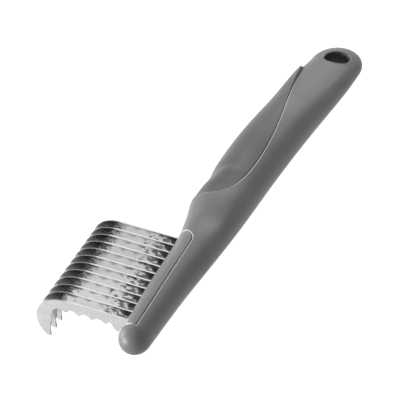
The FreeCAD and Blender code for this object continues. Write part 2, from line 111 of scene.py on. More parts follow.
def make_studio():
    """The dome of soft light and the area lights."""
    scene = bpy.context.scene
    scene.view_settings.view_transform = "Standard"
    world = bpy.data.worlds.new("studio")
    world.use_nodes = True
    tree = world.node_tree
    direction = tree.nodes.new("ShaderNodeTexCoord").outputs["Generated"]
    facing = tree.nodes.new("ShaderNodeVectorMath")
    facing.operation = "DOT_PRODUCT"
    facing.inputs[1].default_value = towards(*DOME_BRIGHT_SIDE)
    tree.links.new(direction, facing.inputs[0])
    level = tree.nodes.new("ShaderNodeMath")
    level.operation = "MULTIPLY_ADD"
    level.inputs[1].default_value = DOME_SWING
    level.inputs[2].default_value = DOME_LEVEL
    tree.links.new(facing.outputs["Value"], level.inputs[0])
    background = tree.nodes["Background"]
    background.inputs["Color"].default_value = WHITE
    tree.links.new(level.outputs["Value"], background.inputs["Strength"])
    scene.world = world
    for name, (azimuth, elevation, distance, size, power) in LIGHTS.items():
        data = bpy.data.lights.new(name, "AREA")
        data.shape = "SQUARE"
        data.size = size
        data.energy = power
        aim(bpy.data.objects.new(name, data), towards(azimuth, elevation), distance)


def make_floor():
    """A plain floor at the object's lowest point, which glows like a light table."""
    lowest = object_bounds()[0].z
    sides = ((-1, -1), (1, -1), (1, 1), (-1, 1))
    corners = [(x * FLOOR_REACH, y * FLOOR_REACH, lowest) for x, y in sides]
    mesh = bpy.data.meshes.new("floor")
    mesh.from_pydata(corners, [], [(0, 1, 2, 3)])
    floor = bpy.data.objects.new("floor", mesh)
    material = bpy.data.materials.new("floor")
    material.use_nodes = True
    shader = material.node_tree.nodes["Principled BSDF"]
    shader.inputs["Base Color"].default_value = (FLOOR_TONE, FLOOR_TONE, FLOOR_TONE, 1.0)
    shader.inputs["Roughness"].default_value = FLOOR_ROUGHNESS
    shader.inputs["Emission Color"].default_value = WHITE
    shader.inputs["Emission Strength"].default_value = FLOOR_GLOW
    mesh.materials.append(material)
    bpy.context.collection.objects.link(floor)


make_camera()
make_studio()
make_floor()

# ---------------------------------------------------------------- the handle's form, in mm

# Elliptical cross-sections from the rounded head to the butt: place along X, centre in Y and Z,
# half width in Y, half height in Z, and how far the grip panel stands proud there.
SECTIONS = (
    (-176.0, 9.4, 1.7, 4.9, 4.7, 0.0),
    (-150.0, 8.8, 1.7, 6.0, 5.3, 0.0),
    (-125.5, 7.8, 1.6, 7.3, 5.8, 0.0),
    (-106.0, 8.3, 1.4, 9.2, 6.8, -0.2),
    (-90.0, 8.2, 1.2, 9.9, 7.2, -0.25),
    (-60.0, 6.7, 1.0, 10.4, 7.2, -0.1),
    (-28.0, 3.5, 0.5, 10.3, 6.0, 0.3),
    (-12.0, 1.9, 0.2, 10.2, 5.1, 0.95),
    (0.0, 0.7, 0.0, 9.6, 4.5, 1.1),
)
TIP_X, BUTT_X = SECTIONS[0][0], SECTIONS[-1][0]
TIP_DOME, BUTT_DOME = 5.6, 12.6
# Thickness of the walls, the least radius round the handle, and how far the looks stay inside the
# CAD model's surface.
SKIN = 1.3
LEAST_RADIUS = 0.3
INSIDE_BOX = 0.03

# Soft hollows for the thumb, and one low swelling: place along X, angle round the handle, reach
# along, reach around and depth. The angle is 0 at the bladed side and 90 degrees at the crown.
DISHES = (
    (-90.5, math.radians(38.0), 4.6, math.radians(38.0), 0.75),
    (-99.5, math.radians(82.0), 4.6, math.radians(26.0), 0.8),
    (-90.5, math.radians(72.0), 2.3, math.radians(26.0), -0.6),
    (-105.0, math.radians(6.0), 6.0, math.radians(30.0), -0.6),
    (-114.5, math.radians(50.0), 6.0, math.radians(24.0), 0.4),
    (-119.0, math.radians(92.0), 6.5, math.radians(34.0), 0.9),
)

# The open notch at the side, where the grip panel starts.
NOTCH_WIDTH, NOTCH_REACH, NOTCH_END_X = 0.6, math.radians(38.0), -90.0

PANEL_SEAM = (
    (-103.6, 22.0),
    (-104.3, 16.0),
    (-104.6, 11.0),
    (-100.5, 6.8),
    (-90.0, 4.0),
    (-72.0, 3.4),
    (-49.0, 5.3),
    (-31.0, 7.8),
    (-13.0, 9.5),
    (-8.0, 10.3),
    (-5.0, 12.0),
)
SEAM_GAP = 0.12
# Spacing of the points along a seam, along the head's opening and strip, and round a screw seat.
SEAM_SPACING, HEAD_SPACING, SEAT_SPACING = 0.3, 0.25, 0.3
# Steps of the lines that these outlines are first drawn with.
SEAM_STEPS, EDGE_STEPS, FRONT_STEPS, LEVEL_STEPS = 90, 120, 12, 60
STRIP_START = (-175.7, 9.1)
STRIP_END = ((-131.0, 8.45), (-127.7, 10.1), (-124.6, 14.6))
STRIP_EDGE = ((-124.6, 14.6), (-150.0, 14.1), (-161.5, 13.65), (-171.0, 13.2), (-175.7, 12.7))
RECESS_START_X, RECESS_END_X = -173.32, -123.08
RECESS_TOP_Z, RECESS_BOTTOM_Z = 2.4, -1.6
HOLE_RADIUS, HOLE_ROUNDING, HOLE_HALF_WALL = 4.6, 0.9, 3.6

# Seats of the screw heads on the underside: place along X and Y, and radius.
SCREW_SEATS = {
    "panel": ((-86.0, 9.0, 2.35), (-46.0, 8.5, 2.35)),
    "body": ((-159.5, 10.6, 1.95), (-135.5, 10.6, 1.95)),
}


def curvatures(places, values):
    """Second derivatives of the natural cubic spline through the values."""
    count = len(places)
    matrix, right = np.eye(count), np.zeros(count)
    for i in range(1, count - 1):
        before, after = places[i] - places[i - 1], places[i + 1] - places[i]
        matrix[i, i - 1 : i + 2] = (before, 2 * (before + after), after)
        slopes = (values[i + 1] - values[i]) / after - (values[i] - values[i - 1]) / before
        right[i] = 6 * slopes
    return np.linalg.solve(matrix, right)


class Spline:
    """A smooth curve through rows of numbers, read at any place along it."""

    def __init__(self, places, rows):
        self.places = np.array(places, float)
        self.rows = np.array(rows, float)
        self.bends = np.array([curvatures(self.places, column) for column in self.rows.T]).T

    def at(self, place):
        """The row of numbers at that place."""
        i = int(np.clip(np.searchsorted(self.places, place) - 1, 0, len(self.places) - 2))
        span = self.places[i + 1] - self.places[i]
        b = (place - self.places[i]) / span
        a = 1 - b
        cubic = (a**3 - a) * self.bends[i] + (b**3 - b) * self.bends[i + 1]
        return a * self.rows[i] + b * self.rows[i + 1] + cubic * span**2 / 6


FORM = Spline([row[0] for row in SECTIONS], [row[1:] for row in SECTIONS])


def form_at(u):
    """Place along X, centre, half sizes and proud step at a length u run over the domes too."""
    x = min(max(u, TIP_X), BUTT_X)
    y, z, wide, high, proud = FORM.at(x)
    share, beyond = 1.0, 0.0
    if u < TIP_X:
        turn = min((TIP_X - u) / TIP_DOME, math.pi / 2)
        share, beyond = math.cos(turn), -TIP_DOME * math.sin(turn)
    elif u > BUTT_X:
        turn = min((u - BUTT_X) / BUTT_DOME, math.pi / 2)
        share, beyond = math.cos(turn), BUTT_DOME * math.sin(turn)
    return x + beyond, y, z, wide, high, proud, share


def dish_depth(u, angle):
    """How deep the hollows lie there, less the height of the swellings."""
    depth = 0.0
    for place, middle, along, around, deep in DISHES:
        far = ((u - place) / along) ** 2 + ((angle - middle) / around) ** 2
        depth += deep * math.exp(-far)
    return depth


def surface(u, angle, depth=0.0, proud=0.0):
    """A point of the handle's outside, or that deep below it."""
    x, y, z, wide, high, step, share = form_at(u)
    down = depth + INSIDE_BOX - proud * step + dish_depth(u, angle)
    toward = 1.0
    if share < 1.0:
        dome = TIP_DOME if u < TIP_X else BUTT_DOME
        end = TIP_X if u < TIP_X else BUTT_X
        toward = (dome - down) / dome
        x = end + (x - end) * toward
    side, top = (wide - down) * share, (high - down) * share
    return Vector((x, y + side * math.cos(angle), z + top * math.sin(angle)))


def radius_at(u, angle):
    """How far the surface moves for each radian round the handle."""
    _, _, _, wide, high, _, share = form_at(u)
    reach = math.hypot(wide * math.sin(angle), high * math.cos(angle)) * share
    return max(reach, LEAST_RADIUS)


def angle_of_y(u, y, below=False):
    """The angle at which the surface passes that place in Y, above or below the widest line."""
    _, middle, _, wide, _, _, share = form_at(u)
    angle = math.acos(min(max((y - middle) / (wide * share), -1.0), 1.0))
    return -angle if below else angle


def angle_of_z(u, z):
    """The angle on the bladed side at which the surface passes that height."""
    _, _, middle, _, high, _, share = form_at(u)
    return math.asin(min(max((z - middle) / (high * share), -1.0), 1.0))


def length_of_x(x):
    """The length u at which the surface reaches that place along X."""
    if x > BUTT_X:
        return BUTT_X + BUTT_DOME * math.asin(min((x - BUTT_X) / BUTT_DOME, 1.0))
    if x < TIP_X:
        return TIP_X - TIP_DOME * math.asin(min((TIP_X - x) / TIP_DOME, 1.0))
    return x


# ---------------------------------------------------------------- outlines on the surface


def smooth_path(points, steps=400):
    """Points of a smooth curve through the given ones."""
    points = np.array(points, float)
    run = np.concatenate([[0.0], np.cumsum(np.linalg.norm(np.diff(points, axis=0), axis=1))])
    curve = Spline(run, points)
    return [tuple(curve.at(place)) for place in np.linspace(0.0, run[-1], steps)]


def arc_path(start, middle, end, steps=60):
    """Points of the circular arc through three points."""
    (ax, ay), (bx, by), (cx, cy) = start, middle, end
    d = 2 * (ax * (by - cy) + bx * (cy - ay) + cx * (ay - by))
    a, b, c = ax**2 + ay**2, bx**2 + by**2, cx**2 + cy**2
    x = (a * (by - cy) + b * (cy - ay) + c * (ay - by)) / d
    y = (a * (cx - bx) + b * (ax - cx) + c * (bx - ax)) / d
    radius = math.hypot(ax - x, ay - y)
    first, last = math.atan2(ay - y, ax - x), math.atan2(cy - y, cx - x)
    turns = np.linspace(first, last, steps)
    return [(x + radius * math.cos(t), y + radius * math.sin(t)) for t in turns]


def even(points, spacing):
    """A closed outline in length and angle, with its points evenly spread on the surface."""
    closed = [*points, points[0]]
    places = [surface(u, angle) for u, angle in closed]
    run = [0.0]
    for here, there in zip(places, places[1:]):
        run.append(run[-1] + (there - here).length)
    count = int(run[-1] / spacing)
    wanted = np.linspace(0.0, run[-1], count, endpoint=False)
    us = np.interp(wanted, run, [u for u, _ in closed])
    angles = np.interp(wanted, run, [angle for _, angle in closed])
    return list(zip(us, angles))


def panel_loop(gap):
    """The grip panel's outline: over the crown side from the front to the butt, and back below."""
    upper = []
    for x, y in smooth_path(PANEL_SEAM):
        x, y = x + gap, y + gap
        _, middle, _, wide, _, _, _ = form_at(x)
        if y < middle + wide:
            angle = angle_of_y(x, y)
            if gap and x < NOTCH_END_X:
                x += NOTCH_WIDTH * math.exp(-((angle / NOTCH_REACH) ** 4))
            upper.append((x, angle))
    start, end = (upper[0][0], 0.0), (upper[-1][0], 0.0)
    lower = [(u, -angle) for u, angle in reversed(upper)]
    return even([start, *upper, end, *lower], SEAM_SPACING)


def rear_end(gap):
    """The strip's rounded rear end."""
    return [(x, angle_of_y(x, y)) for x, y in arc_path(*[(x - gap, y + gap) for x, y in STRIP_END])]


def seam_run(gap):
    """The strip's straight inner seam."""
    (x0, y0), (x1, y1) = STRIP_START, STRIP_END[0]
    x0, y0, x1, y1 = x0 + gap, y0 + gap, x1 - gap, y1 + gap
    places = np.linspace(x0, x1, SEAM_STEPS)
    return [(x, angle_of_y(x, np.interp(x, (x0, x1), (y0, y1)))) for x in places]


def strip_loop():
    """The strip's outline, all of it on the upper side."""
    edge = smooth_path(STRIP_EDGE, EDGE_STEPS)
    start_x, end_x = STRIP_START[0] + SEAM_GAP, STRIP_END[-1][0] - SEAM_GAP
    outer = [(x, angle_of_y(x, y)) for x, y in edge if start_x < x < end_x]
    front = np.linspace(STRIP_EDGE[-1][1], STRIP_START[1] + SEAM_GAP, FRONT_STEPS)
    near = [(start_x, angle_of_y(start_x, y)) for y in front]
    return even([*seam_run(SEAM_GAP), *rear_end(SEAM_GAP), *outer, *near[:-1]], HEAD_SPACING)


def head_loop():
    """The opening in the body for the strip, the carrier and the blades."""

    def level(x0, x1, z):
        return [(x, angle_of_z(x, z)) for x in np.linspace(x0, x1, LEVEL_STEPS)]

    above_rear = level(STRIP_END[-1][0], RECESS_END_X, RECESS_TOP_Z)
    below = level(RECESS_END_X, RECESS_START_X, RECESS_BOTTOM_Z)
    above_front = level(RECESS_START_X, STRIP_START[0], RECESS_TOP_Z)
    outline = [*seam_run(0.0), *rear_end(0.0), *above_rear, *below, *above_front]
    return even(outline, HEAD_SPACING)


def round_loop(x, y, radius, below, count=48):
    """A round hole's outline on the surface, seen from above or below."""
    loop = []
    for step in range(count):
        turn = 2 * math.pi * step / count
        u = length_of_x(x + radius * math.cos(turn))
        loop.append((u, angle_of_y(u, y + radius * math.sin(turn), below)))
    return loop


def inside(loop, us, angles):
    """For each point, whether it lies within the closed outline."""
    u0, a0 = np.array(loop).T
    u1, a1 = np.roll(u0, -1), np.roll(a0, -1)
    us, angles = np.array(us)[:, None], np.array(angles)[:, None]
    crosses = (a0 > angles) != (a1 > angles)
    rise = np.where(a1 == a0, 1.0, a1 - a0)
    left = us < (u1 - u0) * (angles - a0) / rise + u0
    return (crosses & left).sum(axis=1) % 2 == 1


# ---------------------------------------------------------------- shells cut to those outlines

# The clear space between a lip and the evenly spread points.
LIP_MARGIN = 0.3
# About the handle's radius: it turns angles into lengths where the skin is laid out flat.
FLAT_RADIUS = 8.0
# The lip's rows: turn from the wall to the surface in degrees, and share of the painted highlight.
# After the last one comes a row on the surface itself, where the painted highlight has ended.
LIP_ROWS = ((0, 0.0), (18, 0.1), (36, 0.4), (54, 0.8), (72, 1.0), (90, 0.4))
LIP_END = 1.8
# A lip's point is dropped where another stretch of its outline comes closer than this share.
CLEAR_SHARE = 0.85
MESH_TOLERANCE = 1e-5
MERGE_DIGITS = 3


class Patch:
    """Points of one piece's skin in length and angle, each with its depth below the surface
    and its painted light: 1 for a full painted highlight along an edge, -1 for full painted shade."""

    def __init__(self, proud=0.0):
        self.proud = proud
        self.points, self.depths, self.wear, self.edges, self.loops = [], [], [], [], []

    def place(self, u, angle):
        """The point on this piece's surface."""
        return surface(u, angle, 0.0, self.proud)

    def add_loop(self, loop, lip, outward, wear=None):
        """An outline with a rounded lip; outward is 1 where the piece lies outside it, else -1.
        The function given last says the painted light on the lip at a length and angle: above 0 a
        painted highlight, below 0 painted shade."""
        tree = kdtree.KDTree(len(loop))
        for i, (u, angle) in enumerate(loop):
            tree.insert(self.place(u, angle), i)
        tree.balance()
        area = sum(u0 * a1 - u1 * a0 for (u0, a0), (u1, a1) in zip(loop, loop[1:] + loop[:1]))
        side = outward if area > 0 else -outward
        rows = [(0.0, 0.0, 0.0)]
        if lip:
            turns = [(math.radians(turn), share) for turn, share in LIP_ROWS]
            rows = [(lip * (1 - math.cos(t)), lip * (1 - math.sin(t)), s) for t, s in turns]
            rows.append((lip * LIP_END, 0.0, 0.0))
        for away, depth, painted_share in rows:
            start = len(self.points)
            for i, (u, angle) in enumerate(loop):
                before, after = loop[i - 1], loop[(i + 1) % len(loop)]
                reach = radius_at(u, angle)
                du, da = after[0] - before[0], (after[1] - before[1]) * reach
                size = math.hypot(du, da) or 1.0
                moved = (u + side * away * da / size, angle - side * away * du / size / reach)
                if away and tree.find(self.place(*moved))[2] < CLEAR_SHARE * away:
                    continue
                self.points.append(moved)
                self.depths.append(depth)
                self.wear.append(painted_share * wear(u, angle) if wear else 0.0)
            if not away:
                count = len(loop)
                self.edges += [(start + i, start + (i + 1) % count) for i in range(count)]
        self.loops.append((loop, tree, outward, lip * LIP_END))

    def covers(self, us, angles):
        """For each point, whether it belongs to this piece."""
        result = np.ones(len(us), bool)
        for loop, _, outward, _ in self.loops:
            result &= inside(loop, us, angles) == (outward < 0)
        return result

    def add_grid(self, low_u, high_u, step, columns):
        """Evenly spread points wherever the piece lies and no lip is near."""
        rows = int((high_u - low_u) / step)
        turns = np.linspace(-math.pi, math.pi, columns + 1)
        grid = [(u, angle) for u in np.linspace(low_u, high_u, rows + 1) for angle in turns]
        for (u, angle), held in zip(grid, self.covers(*zip(*grid))):
            if not held:
                continue
            here = self.place(u, angle)
            if all(tree.find(here)[2] > lip + LIP_MARGIN for _, tree, _, lip in self.loops):
                self.points.append((u, angle))
                self.depths.append(0.0)
                self.wear.append(0.0)

    def skin(self):
        """Vertices as (length, angle, depth, wear) and triangles between them."""
        flat = [Vector((u, angle * FLAT_RADIUS)) for u, angle in self.points]
        made = geometry.delaunay_2d_cdt(flat, self.edges, [], 0, MESH_TOLERANCE)
        points, _, faces, sources, _, _ = made
        known = [source[0] if source else None for source in sources]
        places = [
            (p.x, p.y / FLAT_RADIUS, *((0.0, 0.0) if i is None else (self.depths[i], self.wear[i])))
            for p, i in zip(points, known)
        ]
        middles = [[sum(places[i][k] for i in face) / 3 for face in faces] for k in (0, 1)]
        held = self.covers(*middles)
        return places, [tuple(face) for face, kept in zip(faces, held) if kept]


def closed_piece(name, outer, inner, faces, wear):
    """A closed mesh from a skin and its inner side, joined along their open edges, with the
    painted highlight and painted shade of each point kept for the material."""
    index, merged, keep = {}, [], []
    for i, point in enumerate(outer):
        key = tuple(round(value, MERGE_DIGITS) for value in point)
        if key not in index:
            index[key] = len(keep)
            keep.append(i)
        merged.append(index[key])
    count = len(keep)
    skin = []
    for face in faces:
        corners = [merged[i] for i in face]
        if len(set(corners)) == len(corners):
            skin.append(corners)
    edges = {}
    for face in skin:
        for a, b in zip(face, face[1:] + face[:1]):
            edges[(a, b)] = edges.get((a, b), 0) + 1
    rims = [(b, a, a + count, b + count) for a, b in edges if (b, a) not in edges]
    points = [outer[i] * MM for i in keep] + [inner[i] * MM for i in keep]
    back = [[i + count for i in reversed(face)] for face in skin]
    mesh = bpy.data.meshes.new(name)
    mesh.from_pydata(points, [], skin + back + rims)
    painted_share = mesh.attributes.new("wear", "FLOAT", "POINT")
    painted_share.data.foreach_set("value", [wear[i] for i in keep] * 2)
    mesh.validate()
    shape = bmesh.new()
    shape.from_mesh(mesh)
    bmesh.ops.recalc_face_normals(shape, faces=shape.faces)
    shape.to_mesh(mesh)
    shape.free()
    mesh.shade_smooth()
    piece = bpy.data.objects.new(name, mesh)
    bpy.context.collection.objects.link(piece)
    return piece


GRID_STEP, GRID_COLUMNS, STRIP_COLUMNS = 1.0, 84, 80
PANEL_SPAN, STRIP_SPAN = (-106.0, -4.0), (-176.0, -124.0)
LOW_U = TIP_X - TIP_DOME * math.pi / 2
HIGH_U = BUTT_X + BUTT_DOME * math.pi / 2
# Radii of the rounded lips, then how strong and where the painted highlights on the panel's and the
# strip's edges are, and where painted shade lies in the notch at the panel's side.
BODY_LIP, PANEL_LIP, STRIP_LIP, SEAT_LIP = 0.33, 0.18, 0.4, 0.15
STRIP_HIGHLIGHT, STRIP_HIGHLIGHT_BELOW = 0.7, math.radians(75)
PANEL_HIGHLIGHT, PANEL_HIGHLIGHT_X, PANEL_HIGHLIGHT_FADE = 0.7, -92.0, 9.0
NOTCH_SHADE_X, NOTCH_SHADE_BELOW = -103.0, math.radians(43)
HOLE_ROWS = 5
# The inner side of the hanging hole's wall: its radius, and its height against the outer side.
TUBE_RADIUS, TUBE_HEIGHT = 6.0, 0.8


def hole_band(upper, lower):
    """Skin and inner side of the hanging hole, between its two outlines on the surface."""
    count = len(upper)
    profile = []
    for row in range(1, HOLE_ROWS + 1):
        turn = math.radians(90 * row / HOLE_ROWS)
        profile.append((HOLE_RADIUS + HOLE_ROUNDING * (1 - math.sin(turn)), math.cos(turn)))
    outer, inner = [], []

    def ring(radius, height):
        for step in range(count):
            turn = 2 * math.pi * step / count
            x, y = math.cos(turn), math.sin(turn)
            outer.append(Vector((radius * x, radius * y, height(step))))
            inner.append(Vector((TUBE_RADIUS * x, TUBE_RADIUS * y, height(step) * TUBE_HEIGHT)))

    def rim(loop):
        for u, angle in loop:
            outer.append(surface(u, angle))
            inner.append(surface(u, angle, SKIN))

    tops = [surface(*point).z for point in upper]
    bottoms = [surface(*point).z for point in lower]
    rim(upper)
    for radius, share in profile:
        ring(radius, lambda i: HOLE_HALF_WALL + (tops[i] - HOLE_HALF_WALL) * share)
    for radius, share in reversed(profile):
        ring(radius, lambda i: -HOLE_HALF_WALL + (bottoms[i] + HOLE_HALF_WALL) * share)
    rim(lower)
    faces = []
    for row in range(len(outer) // count - 1):
        for step in range(count):
            here, there = row * count + step, row * count + (step + 1) % count
            faces.append((here, there, there + count, here + count))
    return outer, inner, faces


def finish_patch(name, patch, inner_of, band=None):
    """The piece made of a patch, of its inner side and of the hanging hole's band, if any."""
    places, faces = patch.skin()
    outer = [surface(u, angle, depth, patch.proud) for u, angle, depth, _ in places]
    inner = [inner_of(place, point) for place, point in zip(places, outer)]
    wear = [place[3] for place in places]
    if band:
        start = len(outer)
        more_outer, more_inner, more_faces = band
        outer += more_outer
        inner += more_inner
        faces = faces + [tuple(i + start for i in face) for face in more_faces]
        wear += [0.0] * len(more_outer)
    return closed_piece(name, outer, inner, faces, wear)


def skin_below(place, _):
    """The inner side's point under a place on the skin."""
    return surface(place[0], place[1], SKIN)


def highlight_all_along(_u, _angle):
    """The same full painted highlight everywhere along an edge."""
    return 1.0


def make_body():
    """The main moulding, open under the panel and the strip, with its hanging hole."""
    patch = Patch()
    # Painted highlight along the body's lips at the panel and at the head's opening.
    patch.add_loop(panel_loop(0.0), BODY_LIP, 1, highlight_all_along)
    patch.add_loop(head_loop(), BODY_LIP, 1, highlight_all_along)
    upper = round_loop(0.0, 0.0, HOLE_RADIUS + HOLE_ROUNDING, False)
    lower = round_loop(0.0, 0.0, HOLE_RADIUS + HOLE_ROUNDING, True)
    patch.add_loop(upper, 0.0, 1)
    patch.add_loop(lower, 0.0, 1)
    for x, y, radius in SCREW_SEATS["body"]:
        patch.add_loop(even(round_loop(x, y, radius, True), SEAT_SPACING), SEAT_LIP, 1)
    patch.add_grid(LOW_U, HIGH_U, GRID_STEP, GRID_COLUMNS)
    band = hole_band(upper, lower)
    piece = finish_patch("handle_body_shell", patch, skin_below, band)
    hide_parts("handle_body")
    return piece


def panel_wear(u, angle):
    """A painted highlight along its front edge, and painted shade in the notch at the side."""
    if u < NOTCH_SHADE_X and abs(angle) < NOTCH_SHADE_BELOW:
        return -1.0
    return PANEL_HIGHLIGHT * min(max((PANEL_HIGHLIGHT_X - u) / PANEL_HIGHLIGHT_FADE, 0.0), 1.0)


def strip_wear(_, angle):
    """A painted highlight along its outer edge."""
    return STRIP_HIGHLIGHT if angle < STRIP_HIGHLIGHT_BELOW else 0.0


def make_panel():
    """The grip panel inside the long seam."""
    patch = Patch(proud=1.0)
    # Painted highlight along the panel's front edge, and painted shade in the notch at its side.
    patch.add_loop(panel_loop(SEAM_GAP), PANEL_LIP, -1, panel_wear)
    for x, y, radius in SCREW_SEATS["panel"]:
        patch.add_loop(even(round_loop(x, y, radius, True), SEAT_SPACING), SEAT_LIP, 1)
    patch.add_grid(*PANEL_SPAN, GRID_STEP, GRID_COLUMNS)
    piece = finish_patch("grip_panel_shell", patch, skin_below)
    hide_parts("grip_panel")
    return piece


def make_strip():
    """The strip over the blade roots."""
    patch = Patch()
    # Painted highlight along the strip's outer edge.
    patch.add_loop(strip_loop(), STRIP_LIP, -1, strip_wear)
    patch.add_grid(*STRIP_SPAN, GRID_STEP, STRIP_COLUMNS)
    floor = RECESS_TOP_Z + INSIDE_BOX
    piece = finish_patch(
        "retaining_strip_cover", patch, lambda _, point: Vector((point.x, point.y, floor))
    )
    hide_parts("retaining_strip")
    return piece


# ---------------------------------------------------------------- blades

# The blades look 0.1 mm thinner than the CAD model's; their outline is the same.
BLADE_COUNT, BLADE_PITCH, FIRST_BLADE_X, BLADE_THICKNESS = 12, 4.0, -169.5, 0.6
BACK_START = (14.0, 2.32)
BLADE_BEND = (
    (30.75, 3.95),
    (35.0, 4.2),
    (39.75, 3.05),
    (42.4, 0.4),
    (43.19, -2.6),
    (42.2, -6.8),
    (39.9, -9.5),
)
BLADE_THROAT = (
    (38.9, -9.5),
    (39.0, -6.4),
    (38.5, -3.4),
    (38.2, -0.8),
    (37.3, 0.75),
    (35.9, 1.15),
)
BLADE_HEEL = ((19.3, -0.6), (18.4, -2.1), (17.9, -2.6), (17.1, -2.6), (16.6, -1.1))
HEEL_NOTCH_Y = 20.0
TANG = ((10.8, -1.1), (10.8, 2.32))
TOOTH_COUNT, TOOTH_PITCH, FIRST_TOOTH_Y, TOOTH_FLAT = 4, 4.2, 34.0, 0.6
TOOTH_DEPTH, NOTCH_DEPTH = 3.85, 2.8
BEND_STEPS, THROAT_STEPS, NOTCH_STEPS, HEEL_STEPS = 36, 26, 10, 8
BLADE_EDGE, BLADE_EDGE_SEGMENTS, BLADE_EDGE_PROFILE = 0.1, 2, 0.5
# A face whose normal lies along X at least this much is shaded flat.
FLAT_FACE = 0.99


def blade_outline():
    """The blade in its own plane, as in part.py: back, bend, claw, teeth, heel and tang."""
    end = BLADE_BEND[0]
    slope = (end[1] - BACK_START[1]) / (end[0] - BACK_START[0])

    def below_back(y, depth):
        return (y, BACK_START[1] + slope * (y - BACK_START[0]) - depth)

    points = [BACK_START, *smooth_path(BLADE_BEND, BEND_STEPS)]
    points += smooth_path(BLADE_THROAT, THROAT_STEPS)
    for tooth in range(TOOTH_COUNT):
        y = FIRST_TOOTH_Y - tooth * TOOTH_PITCH
        start = below_back(y + TOOTH_FLAT / 2, TOOTH_DEPTH)
        if tooth:
            notch = below_back(y + TOOTH_PITCH / 2, NOTCH_DEPTH)
            points += short_arc(points[-1], notch, start, NOTCH_STEPS)[1:-1]
        points += [start, below_back(y - TOOTH_FLAT / 2, TOOTH_DEPTH)]
    notch = below_back(HEEL_NOTCH_Y, NOTCH_DEPTH)
    points += short_arc(points[-1], notch, BLADE_HEEL[0], HEEL_STEPS)[1:-1]
    return [*points, *BLADE_HEEL, *TANG]


def short_arc(start, middle, end, steps):
    """Points along the parabola through three points, close to a circular arc."""
    points = []
    for share in np.linspace(0.0, 1.0, steps):
        a, b, c = (1 - share) * (1 - 2 * share), 4 * share * (1 - share), share * (2 * share - 1)
        points.append(tuple(a * s + b * m + c * e for s, m, e in zip(start, middle, end)))
    return points


def make_blade(number, outline):
    """One blade: its outline as a plate with softly rounded edges."""
    x = FIRST_BLADE_X - BLADE_THICKNESS / 2 + number * BLADE_PITCH
    shape = bmesh.new()
    near = [shape.verts.new((x * MM, y * MM, z * MM)) for y, z in outline]
    far = [shape.verts.new(((x + BLADE_THICKNESS) * MM, y * MM, z * MM)) for y, z in outline]
    shape.faces.new(near)
    shape.faces.new(reversed(far))
    for i, here in enumerate(near):
        shape.faces.new((near[i - 1], here, far[i], far[i - 1]))
    rims = [e for e in shape.edges if e.verts[0].co.x == e.verts[1].co.x]
    bmesh.ops.bevel(
        shape,
        geom=rims,
        offset=BLADE_EDGE * MM,
        segments=BLADE_EDGE_SEGMENTS,
        profile=BLADE_EDGE_PROFILE,
        affect="EDGES",
        clamp_overlap=True,
    )
    bmesh.ops.recalc_face_normals(shape, faces=shape.faces)
    for face in shape.faces:
        face.smooth = abs(face.normal.x) < FLAT_FACE
    mesh = bpy.data.meshes.new(f"blade_{number + 1:02d}_steel")
    shape.to_mesh(mesh)
    shape.free()
    piece = bpy.data.objects.new(mesh.name, mesh)
    bpy.context.collection.objects.link(piece)
    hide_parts(f"blade_{number + 1:02d}")
    return piece


# ---------------------------------------------------------------- materials

# Most of a noise's values lie between these two.
NOISE_LOW, NOISE_HIGH = 0.3, 0.7

# Noise patterns: how fine, how detailed, and the squeeze along each axis, where a number below 1
# draws the pattern out.
PLASTIC_CLOUD = (90.0, 5.0)
PLASTIC_RUB = (35.0, 3.0)
PLASTIC_GRAIN = (5200.0, 2.0)
STEEL_STREAKS = (900.0, 4.0, (1.0, 0.05, 1.0))
STEEL_CLOUD = (260.0, 4.0, (1.0, 0.4, 1.0))
STEEL_SPECKLE = (2600.0, 2.0)
DARK_REFLECTION_PATTERN = (1000.0, 8.0, (1.0, 0.6, 1.0))

# How far the patterns change the tone and the roughness: shares of them, except that
# PLASTIC_SHEENS is added to the roughness.
PLASTIC_TONES, PLASTIC_SHEENS = (0.93, 1.07), (-0.05, 0.07)
STREAK_TONES, SPECKLE_TONES, STEEL_SHEENS = (0.94, 1.06), (0.88, 1.12), (0.7, 1.6)

# Bumps: strength, and height in metres.
GRAIN_BUMP = (0.25, 0.00004)
STREAK_BUMP = (0.12, 0.00003)

# Tone of a painted highlight on an edge and of painted shade in the notch, as shares of the
# plastic's own tone.
HIGHLIGHT_GAIN, NOTCH_SHADE_GAIN = 3.7, 0.1
# Painted shade in the hanging hole's bore: dark up to the first distance from its axis and plain
# from the second.
BORE_SHADE_GAIN, BORE_SHADE_FULL, BORE_SHADE_END = 0.35, 0.00465, 0.0049

# A blade's thin edges are duller than its faces: EDGE_GAIN is the edges' tone as a share of the
# faces', told apart by how far their normals lie along X.
EDGE_GAIN, EDGE_NORMAL, FACE_NORMAL = 0.4, 0.6, 0.9

# Painted dark reflections on the faces, where the blades mirror each other and the dark handle, in
# metres; their tone is a share of the clean steel's. The one at the bend has its own strength,
# starts along Y with an edge moved by BEND_RAGGED, and fades out downwards along Z. The one at the
# root reaches along Y to somewhere in ROOT_REACH and ends over ROOT_FADE. The first blade's outer
# face, where X is below BETWEEN_X, has none.
DARK_REFLECTION_TONE = 0.25
BEND_DARK_REFLECTION, BEND_Y, BEND_Z, BEND_RAGGED = 0.85, (0.0340, 0.0347), (-0.0006, 0.0008), 0.0026
ROOT_REACH, ROOT_NOISE, ROOT_FADE = (0.0150, 0.0270), (0.33, 0.67), 0.0024
BETWEEN_X = (-0.16975, -0.1697)


def new_material(name):
    """A new material with its node tree, its shader and its object coordinates."""
    material = bpy.data.materials.new(name)
    material.use_nodes = True
    tree = material.node_tree
    place = tree.nodes.new("ShaderNodeTexCoord").outputs["Object"]
    return material, tree, tree.nodes["Principled BSDF"], place


